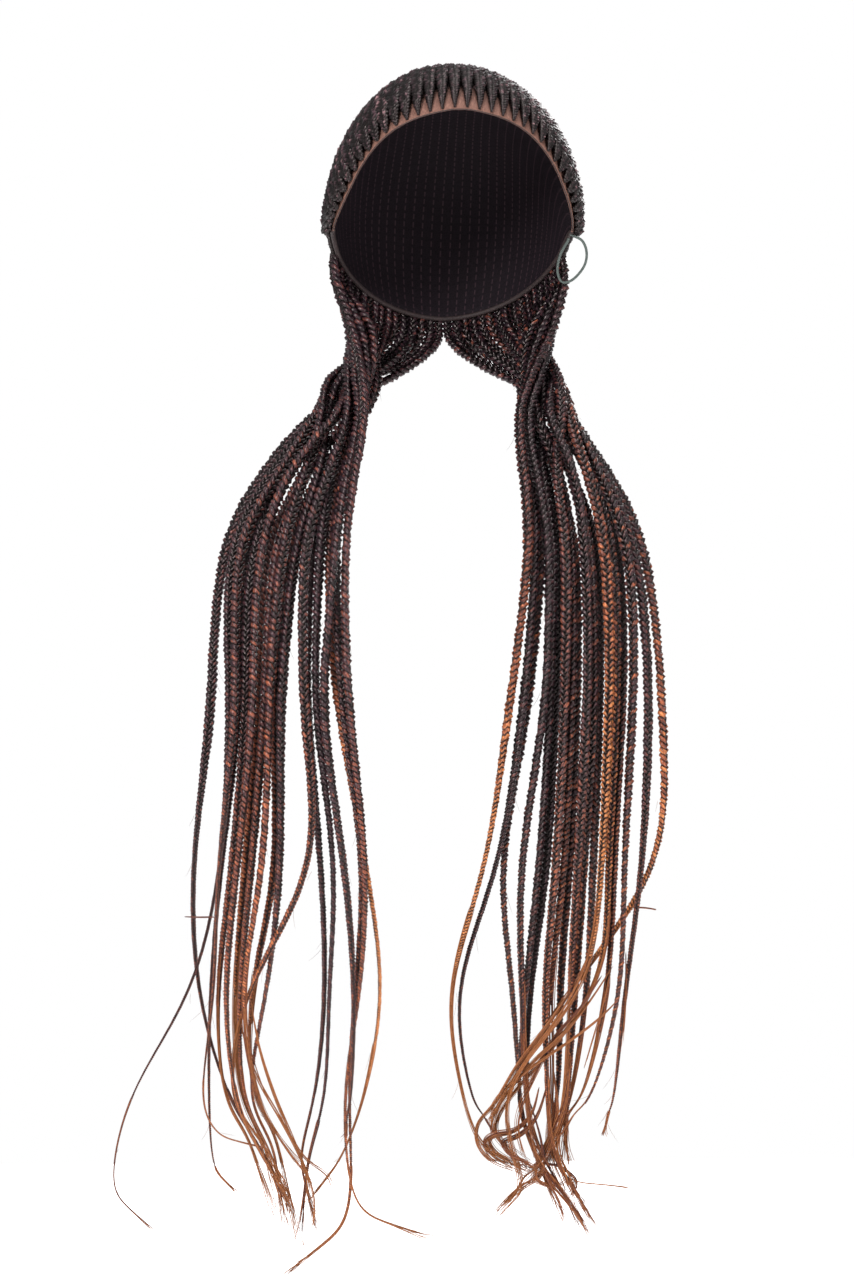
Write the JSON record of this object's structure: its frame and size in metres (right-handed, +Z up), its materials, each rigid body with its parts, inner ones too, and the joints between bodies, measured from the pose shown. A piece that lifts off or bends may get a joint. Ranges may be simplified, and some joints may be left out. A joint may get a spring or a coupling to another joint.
{
  "type": "braid wig",
  "caption": "Full-cap wig of straight-back cornrows on a hollow lace cap, whose long thin braids gather behind the neck and fall forward over both shoulders.",
  "frame": {"origin": "inside of the lace cap's crown, where the cap rests on the top of a head", "axes": "+Z up, -Y to the front, where the wearer faces, +X to the viewer's right from the front"},
  "size_m": [0.3717, 0.2071, 0.8128],
  "materials": {
    "lace": "fine warm brown lace net, matte",
    "cornrow_hair": "plaited synthetic hair, near black brown, soft sheen",
    "hanging_hair": "plaited synthetic hair, dark brown at the neck fading to auburn and copper at the tips, soft sheen",
    "elastic": "thin grey-green elastic cord, matte"
  },
  "bodies": {
    "root": {"lace_cap": "lace", "cornrow_01": "cornrow_hair", "cornrow_02": "cornrow_hair", "cornrow_03": "cornrow_hair", "cornrow_04": "cornrow_hair", "cornrow_05": "cornrow_hair", "cornrow_06": "cornrow_hair", "cornrow_07": "cornrow_hair", "cornrow_08": "cornrow_hair", "cornrow_09": "cornrow_hair", "cornrow_10": "cornrow_hair", "cornrow_11": "cornrow_hair", "cornrow_12": "cornrow_hair", "cornrow_13": "cornrow_hair", "cornrow_14": "cornrow_hair", "cornrow_15": "cornrow_hair", "cornrow_16": "cornrow_hair", "cornrow_17": "cornrow_hair", "cornrow_18": "cornrow_hair", "cornrow_19": "cornrow_hair", "cornrow_20": "cornrow_hair", "cornrow_21": "cornrow_hair", "cornrow_22": "cornrow_hair", "cornrow_23": "cornrow_hair", "cornrow_24": "cornrow_hair", "cornrow_25": "cornrow_hair", "cornrow_26": "cornrow_hair", "cornrow_27": "cornrow_hair", "cornrow_28": "cornrow_hair", "cornrow_29": "cornrow_hair", "cornrow_30": "cornrow_hair", "cornrow_31": "cornrow_hair", "cornrow_32": "cornrow_hair", "cornrow_33": "cornrow_hair", "cornrow_34": "cornrow_hair", "cornrow_35": "cornrow_hair", "cornrow_36": "cornrow_hair", "left_braids_01": "hanging_hair", "left_braids_02": "hanging_hair", "left_braids_03": "hanging_hair", "left_braids_04": "hanging_hair", "left_braids_05": "hanging_hair", "left_braids_06": "hanging_hair", "left_braids_07": "hanging_hair", "left_braids_08": "hanging_hair", "left_braids_09": "hanging_hair", "right_braids_01": "hanging_hair", "right_braids_02": "hanging_hair", "right_braids_03": "hanging_hair", "right_braids_04": "hanging_hair", "right_braids_05": "hanging_hair", "right_braids_06": "hanging_hair", "right_braids_07": "hanging_hair", "right_braids_08": "hanging_hair", "right_braids_09": "hanging_hair", "elastic_loop": "elastic"}
  },
  "joints": []
}
